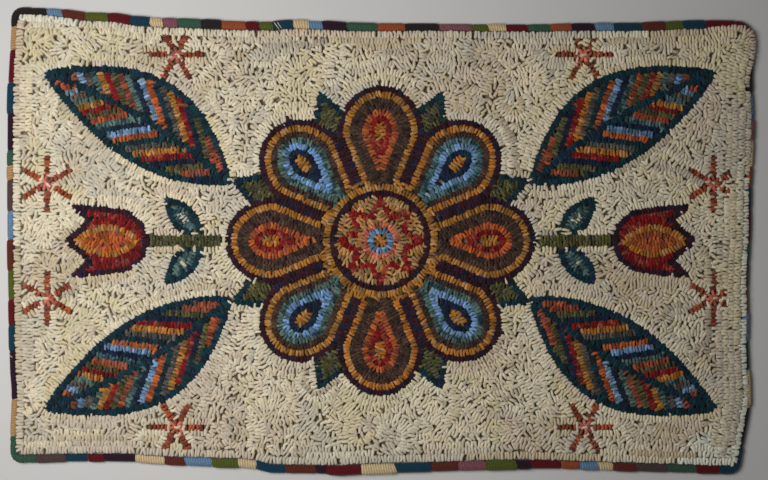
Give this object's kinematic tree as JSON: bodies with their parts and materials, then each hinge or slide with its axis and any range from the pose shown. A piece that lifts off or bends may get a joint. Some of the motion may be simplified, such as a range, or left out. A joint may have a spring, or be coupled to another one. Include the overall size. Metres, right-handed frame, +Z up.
{
  "type": "hooked rug",
  "caption": "Small rectangular hooked rug of wool loops on linen, lying flat, with a whipped yarn edge and slightly wavy hand-made sides.",
  "frame": {"origin": "middle of the rug's outline, on its underside", "axes": "+X along the length, +Y towards the back edge (the top of the design), +Z up out of the pile"},
  "size_m": [0.8378, 0.5227, 0.0094],
  "materials": {
    "wool_pile": "matt wool strip loops, cream ground with a many-coloured design",
    "whipping_yarn": "matt wool yarn wound tightly over the edge in short runs of changing colour",
    "linen_backing": "plain open linen weave"
  },
  "bodies": {
    "root": {"hooked_field": "wool_pile", "whipped_edge_back": "whipping_yarn", "whipped_edge_right": "whipping_yarn", "whipped_edge_front": "whipping_yarn", "whipped_edge_left": "whipping_yarn"}
  },
  "joints": []
}
